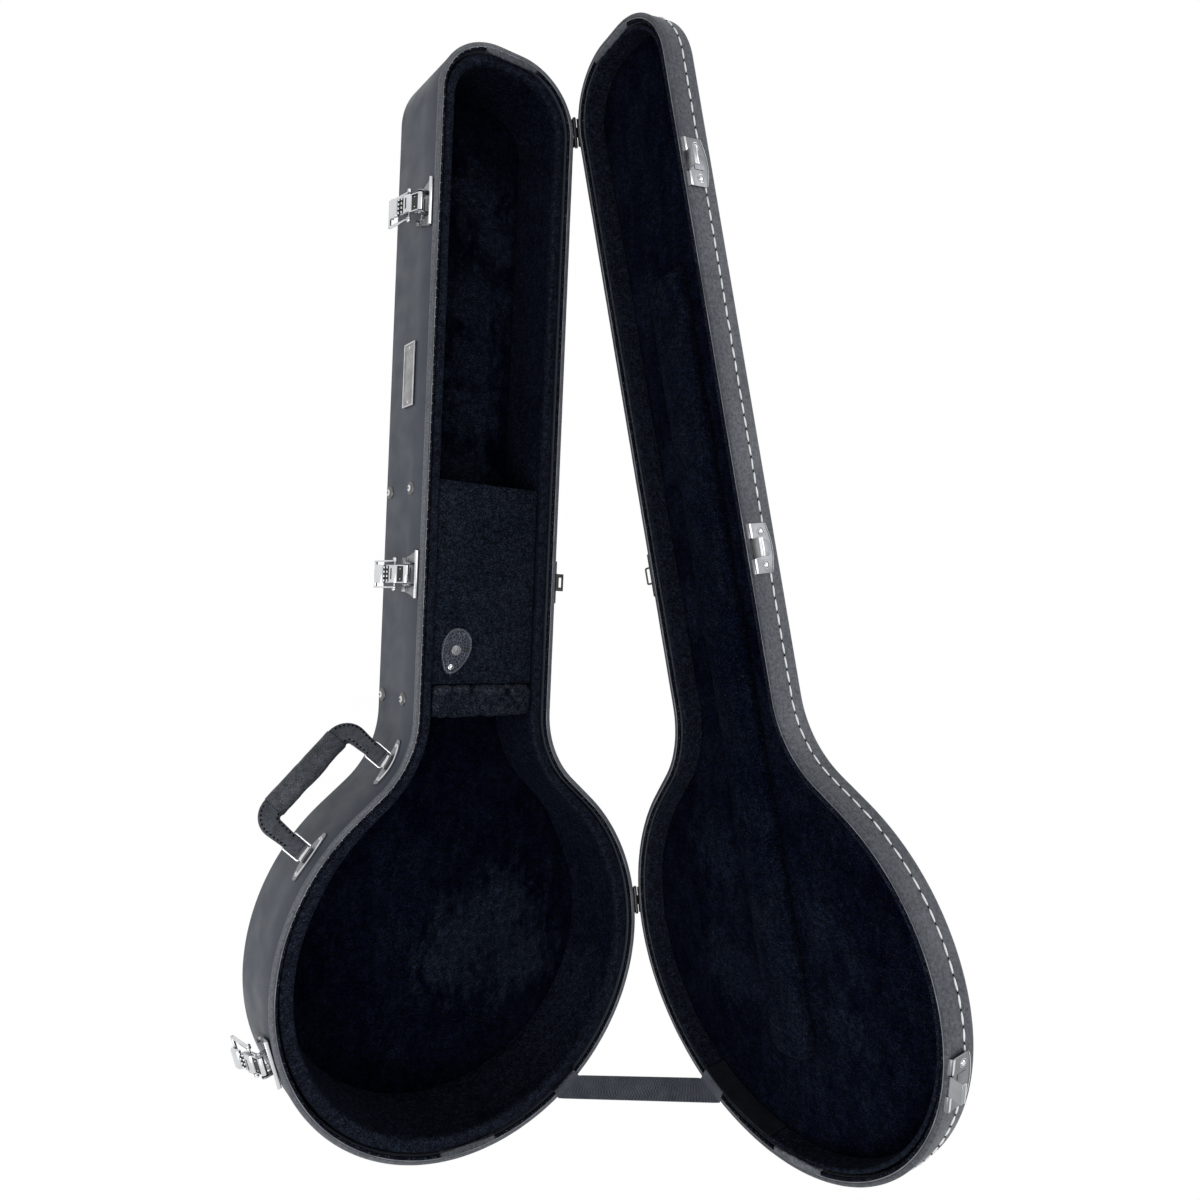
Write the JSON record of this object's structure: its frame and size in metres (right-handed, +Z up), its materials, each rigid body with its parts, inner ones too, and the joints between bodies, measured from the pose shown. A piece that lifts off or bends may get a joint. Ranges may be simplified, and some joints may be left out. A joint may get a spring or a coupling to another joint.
{
  "type": "banjo case",
  "caption": "Hard banjo case lying open, with plush lining, lidded pocket, draw latches, corner handle and lid strap.",
  "frame": {"origin": "centre of the round body, on the underside the case lies on", "axes": "+Y along the neck towards the peghead end, +Z up out of the open base, -X towards the latches and handle"},
  "size_m": [0.4673, 1.0931, 0.4937],
  "materials": {
    "vinyl": "grained vinyl cloth, dull sheen",
    "bead_vinyl": "grained welt, dull sheen",
    "plush": "short blue-black plush",
    "dark_hinge_metal": "dark plated steel",
    "aged_metal": "dulled plating",
    "bright_chrome": "bright plated steel",
    "plate_aluminium": "satin plate",
    "tab_leather": "grained leather with a stitched edge",
    "handle_leather": "smooth stitched leather",
    "webbing": "woven flat webbing"
  },
  "bodies": {
    "case_base": {"base_back_board": "vinyl", "base_side_wall": "vinyl", "base_rim_bead": "bead_vinyl", "base_body_lining": "plush", "base_neck_lining": "plush", "base_floor_lining": "plush", "base_tail_lip": "plush", "base_head_lip": "plush", "neck_rest": "plush", "pocket_head_wall": "plush", "lower_hinge_base_leaf": "dark_hinge_metal", "lower_hinge_pin": "dark_hinge_metal", "upper_hinge_base_leaf": "dark_hinge_metal", "upper_hinge_pin": "dark_hinge_metal", "head_latch_plate": "bright_chrome", "head_latch_lever_pin": "bright_chrome", "waist_latch_plate": "bright_chrome", "waist_latch_lever_pin": "bright_chrome", "tail_latch_plate": "bright_chrome", "tail_latch_lever_pin": "bright_chrome", "waist_guide_tab": "aged_metal", "handle_upper_plate": "bright_chrome", "handle_lower_plate": "bright_chrome", "name_plate": "plate_aluminium", "wall_screw_1": "bright_chrome", "wall_screw_2": "bright_chrome", "wall_screw_3": "bright_chrome", "wall_screw_4": "bright_chrome", "strap_base_end": "webbing", "strap_span": "webbing"},
    "case_lid": {"lid_top_board": "vinyl", "lid_side_wall": "vinyl", "lid_rim_bead": "bead_vinyl", "lid_wall_lining": "plush", "lid_top_lining": "plush", "lid_neck_pad": "plush", "lid_tail_lip": "plush", "lid_head_lip": "plush", "lower_hinge_lid_leaf": "dark_hinge_metal", "upper_hinge_lid_leaf": "dark_hinge_metal", "head_latch_keeper": "bright_chrome", "waist_latch_keeper": "bright_chrome", "tail_latch_keeper": "bright_chrome", "waist_guide_loop": "aged_metal", "strap_lid_end": "webbing"},
    "pocket_cover": {"pocket_lid": "plush", "pull_tab": "tab_leather", "tab_disc": "bright_chrome", "tab_snap": "bright_chrome"},
    "carry_handle": {"handle_grip": "handle_leather", "handle_upper_end": "handle_leather", "handle_lower_end": "handle_leather", "handle_upper_ring": "bright_chrome", "handle_lower_ring": "bright_chrome"},
    "head_lever": {"head_latch_lever": "bright_chrome"},
    "head_bail": {"head_latch_bail": "bright_chrome"},
    "waist_lever": {"waist_latch_lever": "bright_chrome"},
    "waist_bail": {"waist_latch_bail": "bright_chrome"},
    "tail_lever": {"tail_latch_lever": "bright_chrome"},
    "tail_bail": {"tail_latch_bail": "bright_chrome"}
  },
  "joints": [
    {"name": "lid_hinge", "type": "hinge", "parent": "case_base", "child": "case_lid", "pos_m": [0.19543, 0.02853, 0.0905], "axis": [-0.1445, 0.9895, 0], "range_deg": [-87.8, 0], "deforming": ["strap_span"]},
    {"name": "head_latch_lever_turn", "type": "hinge", "parent": "case_base", "child": "head_lever", "pos_m": [-0.08451, 0.71997, 0.079], "axis": [-0.0029, 1, 0], "range_deg": [-20, 80]},
    {"name": "head_latch_bail_turn", "type": "hinge", "parent": "head_lever", "child": "head_bail", "pos_m": [-0.08886, 0.71996, 0.06355], "axis": [0.0029, -1, 0], "range_deg": [-187.9, 0]},
    {"name": "waist_latch_lever_turn", "type": "hinge", "parent": "case_base", "child": "waist_lever", "pos_m": [-0.0835, 0.36937, 0.079], "axis": [-0.0029, 1, 0], "range_deg": [-20, 80]},
    {"name": "waist_latch_bail_turn", "type": "hinge", "parent": "waist_lever", "child": "waist_bail", "pos_m": [-0.08785, 0.36936, 0.06355], "axis": [0.0029, -1, 0], "range_deg": [-187.9, 0]},
    {"name": "tail_latch_lever_turn", "type": "hinge", "parent": "case_base", "child": "tail_lever", "pos_m": [-0.19506, -0.05758, 0.079], "axis": [-0.3029, 0.953, 0], "range_deg": [-20, 80]},
    {"name": "tail_latch_bail_turn", "type": "hinge", "parent": "tail_lever", "child": "tail_bail", "pos_m": [-0.1992, -0.05889, 0.06355], "axis": [0.3029, -0.953, 0], "range_deg": [-187.9, 0]},
    {"name": "handle_swing", "type": "hinge", "parent": "case_base", "child": "carry_handle", "pos_m": [-0.12627, 0.15462, 0.067], "axis": [0.6832, 0.7302, 0], "range_deg": [-52, 98]},
    {"name": "pocket_lid_hinge", "type": "hinge", "parent": "case_base", "child": "pocket_cover", "pos_m": [0, 0.462, 0.078], "axis": [-1, 0, 0], "range_deg": [0, 100]}
  ]
}
